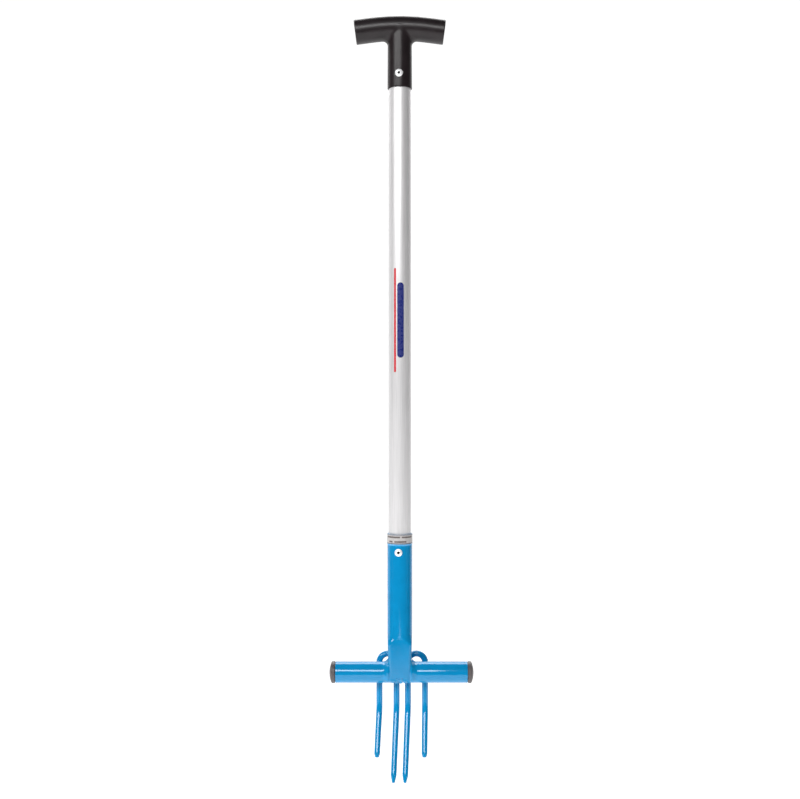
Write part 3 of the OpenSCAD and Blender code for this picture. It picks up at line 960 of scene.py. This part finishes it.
# ------------------------------------------------------------------ welds

WELD_SINK = 0.12                        # how far a weld's edges are let into the surfaces


def bar_field(y, z):
    """How far a point is outside the foot bar."""
    return np.hypot(y - BAR_Y, z) - BAR_R


def socket_field(x, y, z):
    """How far a point is outside the socket's pressed outline, about."""
    z = np.clip(z, PRESS_LOW, PRESS_TOP)
    rings = np.array(PRESS_RINGS)[::-1]
    share, half, front, back = (np.interp(z, rings[:, 0], rings[:, i]) for i in range(1, 5))
    circle = np.hypot(x, y) - SOCKET_R
    r = np.where(y > BAR_Y, BACK_R, FRONT_R)
    reach = np.where(y > BAR_Y, back, front)
    qx = np.abs(x) - (half - r)
    qy = np.abs(y - BAR_Y) - (reach - r)
    box = np.hypot(np.maximum(qx, 0), np.maximum(qy, 0)) + np.minimum(np.maximum(qx, qy), 0) - r
    return circle * (1 - share) + box * share


def seam_weld(x, y, z):
    """The fillet between the socket's sides and the bar, wide and flat in front."""
    a, b = socket_field(x, y, z), bar_field(y, z)
    facing = smoothstep(0.15, 0.8, (BAR_Y - y) / BAR_R)
    beside = 0.04 + 0.96 * smoothstep(11.5, 15.5, np.abs(x))
    radius = (7.8 + 1.8 * facing + 0.5 * lumps(x, y, z, 7)) * beside
    body = blend_union(a + WELD_SINK, b + WELD_SINK, radius)
    # what is under the surfaces stops a little way in
    body = np.maximum(body, -(a + 1.3))
    body = np.maximum(body, -(b + 1.7))
    body = np.maximum(body, 4.0 - np.abs(x))
    body = np.maximum(body, np.maximum(-z - 6.5 - 1.5 * facing, y - 12.7))
    return np.maximum(body, np.hypot(a, b) - 13)


def tongue_weld(x, y, z):
    """Lobes of bead that fan out from the tongue's lower edge over the bar's lower front."""
    # each lobe's start and end as x and height above the bar's axis, and its radius
    lobes = [(-10.4, -3.0, -14.5, -7.4, 2.7), (-6.4, -3.2, -9.4, -9.8, 2.7),
             (-2.2, -3.4, -4.4, -10.9, 2.6), (1.8, -3.4, 1.2, -11.2, 2.5),
             (6.0, -3.2, 7.2, -10.6, 2.7), (10.2, -3.0, 13.6, -7.6, 2.7)]
    body = None
    for x0, z0, x1, z1, r in lobes:
        start = np.array([x0, BAR_Y - math.sqrt(BAR_R**2 - z0 * z0) + 0.5, z0])
        end = np.array([x1, BAR_Y - math.sqrt(BAR_R**2 - z1 * z1) + 0.9, z1])
        d = end - start
        p = np.stack([x - start[0], y - start[1], z - start[2]])
        t = np.clip(np.tensordot(d, p, 1) / (d @ d), 0, 1)
        gap = np.sqrt(sum((p[i] - t * d[i]) ** 2 for i in range(3)))
        lobe = gap - (r - 0.55 * t)
        body = lobe if body is None else soft_union(body, lobe, 0.2)
    body = body + 0.1 * lumps(x, y, z, 3.2)
    return np.maximum(body, -(bar_field(y, z) + 1.2))


def tine_weld(legs_x, x, y, z):
    """Fillets in the crotches between a hairpin's legs and the bar's back."""
    b = bar_field(y, z)
    body = None
    for leg_x, top in legs_x:
        rod = np.hypot(x - leg_x, y - ROD_Y) - ROD_R
        lift = np.abs(z + 0.5 * np.sin(leg_x))
        radius = 1.6 + 3.6 * smoothstep(3, 9, lift) + 0.35 * lumps(x, y, z, 5)
        one = blend_union(b + WELD_SINK, rod + WELD_SINK, radius)
        one = np.maximum(one, -(rod + 1.5))
        one = np.maximum(one, np.hypot(b, rod) - 9)
        one = np.maximum(one, np.maximum(z - top, -z - 12.6))
        body = one if body is None else np.minimum(body, one)
    return np.maximum(body, -(b + 1.5))


def weld_piece(name, node, field, low, high, cell):
    """A blue weld; its field and its box have their height 0 at the bar's axis."""
    verts, faces = field_mesh(field, low, high, cell)
    verts = verts + np.array([0, 0, BAR_Z])
    add_piece(name, verts, faces, BLUE, [node], "blue_coat", 50)


weld_piece("seam_weld_fillets", "weld_socket_bar", seam_weld, (-30, -20, -15), (30, 13, 25), 0.6)
weld_piece("tongue_weld_bead", "weld_tongue", tongue_weld, (-17, -19, -15), (17.5, -4, 3), 0.4)
for side, name in ((-1, "left"), (1, "right")):
    # where each leg is, and how high its welds go; the socket stands over the inner leg
    legs_x = [(TINES_X + side * OUTER_X, 12.6), (TINES_X + side * INNER_X, -1.0)]
    middle = TINES_X + side * (OUTER_X + INNER_X) / 2
    weld_piece(
        f"{name}_tine_welds",
        f"weld_tines_{name}",
        lambda x, y, z, legs_x=legs_x: tine_weld(legs_x, x, y, z),
        (middle - 24, 6, -14),
        (middle + 24, 24, 14),
        0.6,
    )

# ------------------------------------------------------------------ stage, light and camera

FLOOR_Z = -2.0


def stage_floor():
    """A plain pale floor, slightly uneven in tone."""
    material, tree, principled = shader("pale_floor", (0.9, 0.9, 0.9), 0.7)
    tree.links.new(
        colours(tree, noise(tree, 1.5, 2), (0.9, 0.9, 0.9), (0.93, 0.93, 0.93)),
        principled.inputs["Base Color"],
    )
    principled.inputs["Emission Color"].default_value = (1, 1, 1, 1)
    principled.inputs["Emission Strength"].default_value = 0.68
    mesh = bpy.data.meshes.new("floor")
    # it ends in front of the object, so that only what faces well down mirrors it
    reach, front = 9, -3.8
    mesh.from_pydata(
        [(-reach, front, FLOOR_Z), (reach, front, FLOOR_Z), (reach, reach, FLOOR_Z),
         (-reach, reach, FLOOR_Z)], [], [(0, 1, 2, 3)]
    )
    mesh.materials.append(material)
    floor = bpy.data.objects.new("floor", mesh)
    scene.collection.objects.link(floor)


def area_light(name, place, aim, size, power):
    data = bpy.data.lights.new(name, "AREA")
    data.shape, data.size, data.size_y = "RECTANGLE", size[0], size[1]
    data.energy = power
    light = bpy.data.objects.new(name, data)
    light.location = place
    light.rotation_euler = (Vector(aim) - Vector(place)).to_track_quat("-Z", "Y").to_euler()
    scene.collection.objects.link(light)


stage_floor()
area_light("softbox", (-2.9, -7.2, 3.7), (0, 0, -0.6), (9.6, 2.4), 830)
area_light("back_bounce", (0, 1.45, 1.25), (0, 0, -0.8), (3.2, 1.4), 60)

world = bpy.data.worlds.new("studio")
world.use_nodes = True
tree = world.node_tree
background = tree.nodes["Background"]
place = tree.nodes.new("ShaderNodeTexCoord")
# the wall behind the object is white and comes round on the left; the room in front is dark
facing = tree.nodes.new("ShaderNodeVectorMath")
facing.operation = "DOT_PRODUCT"
facing.inputs[1].default_value = (-0.12, 1, 0)
tree.links.new(place.outputs["Generated"], facing.inputs[0])
tree.links.new(
    colours(tree, facing.outputs["Value"], (0.04, 0.04, 0.04), (1, 1, 1), 0.22, 0.56),
    background.inputs["Color"],
)
background.inputs["Strength"].default_value = 1.0
output = tree.nodes["World Output"]
# the camera itself sees plain white paper
paper = tree.nodes.new("ShaderNodeBackground")
paper.inputs["Color"].default_value = (1, 1, 1, 1)
paper.inputs["Strength"].default_value = 1.05
switch = tree.nodes.new("ShaderNodeMixShader")
path_node = tree.nodes.new("ShaderNodeLightPath")
tree.links.new(path_node.outputs["Is Camera Ray"], switch.inputs["Fac"])
tree.links.new(background.outputs["Background"], switch.inputs[1])
tree.links.new(paper.outputs["Background"], switch.inputs[2])
tree.links.new(switch.outputs["Shader"], output.inputs["Surface"])
scene.world = world
scene.view_settings.view_transform = "Standard"

camera = bpy.data.objects.new("camera", bpy.data.cameras.new("camera"))
camera.data.lens = 51.75
camera.data.sensor_width = 36
camera.data.shift_y = -0.018
camera.data.clip_end = 50
camera.location = (0.0003, -1.481, -0.4436)
camera.rotation_euler = (math.pi / 2, 0, 0)
scene.collection.objects.link(camera)
scene.camera = camera
